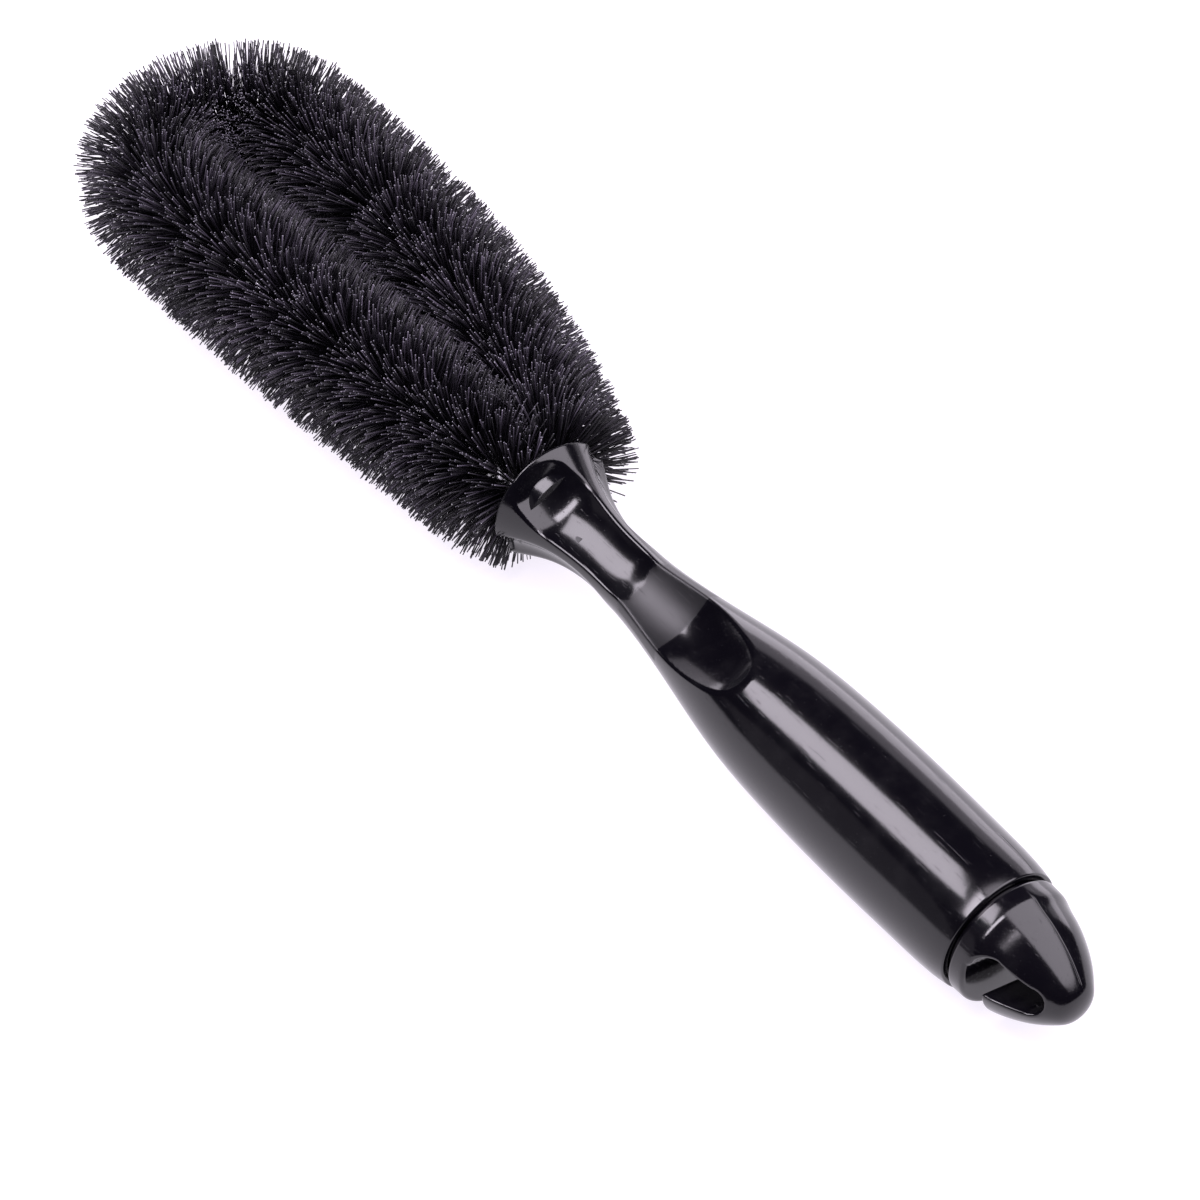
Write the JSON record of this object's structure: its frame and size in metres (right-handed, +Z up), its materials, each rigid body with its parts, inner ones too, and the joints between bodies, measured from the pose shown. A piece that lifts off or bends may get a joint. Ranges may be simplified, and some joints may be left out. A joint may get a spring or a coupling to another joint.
{
  "type": "wheel brush",
  "caption": "Hand brush for vehicle wheels: a loop of twisted wire with dense round bristles on a hollow necked handle with a hooked end cap.",
  "frame": {"origin": "centre of the bottom of the bounding box, on the surface the bristle head lies on", "axes": "+X from the end cap along the handle to the tip of the head, +Z up across the flat loop with the thumb rest facing up and 27 degrees to the left, +Y to the left arm of the loop"},
  "size_m": [0.3526, 0.0786, 0.04],
  "materials": {
    "handle_plastic": "polished black moulding",
    "cap_plastic": "polished black moulding",
    "plug_plastic": "plain black moulding",
    "core_wire": "galvanised drawn wire",
    "filament": "black satin filament with cut tips"
  },
  "bodies": {
    "root": {"handle_shell": "handle_plastic", "end_cap": "cap_plastic", "wire_plug": "plug_plastic", "core_wire_a": "core_wire", "core_wire_b": "core_wire", "bristles_left_arm": "filament", "bristles_right_arm": "filament", "bristles_tip_bend": "filament"}
  },
  "joints": []
}
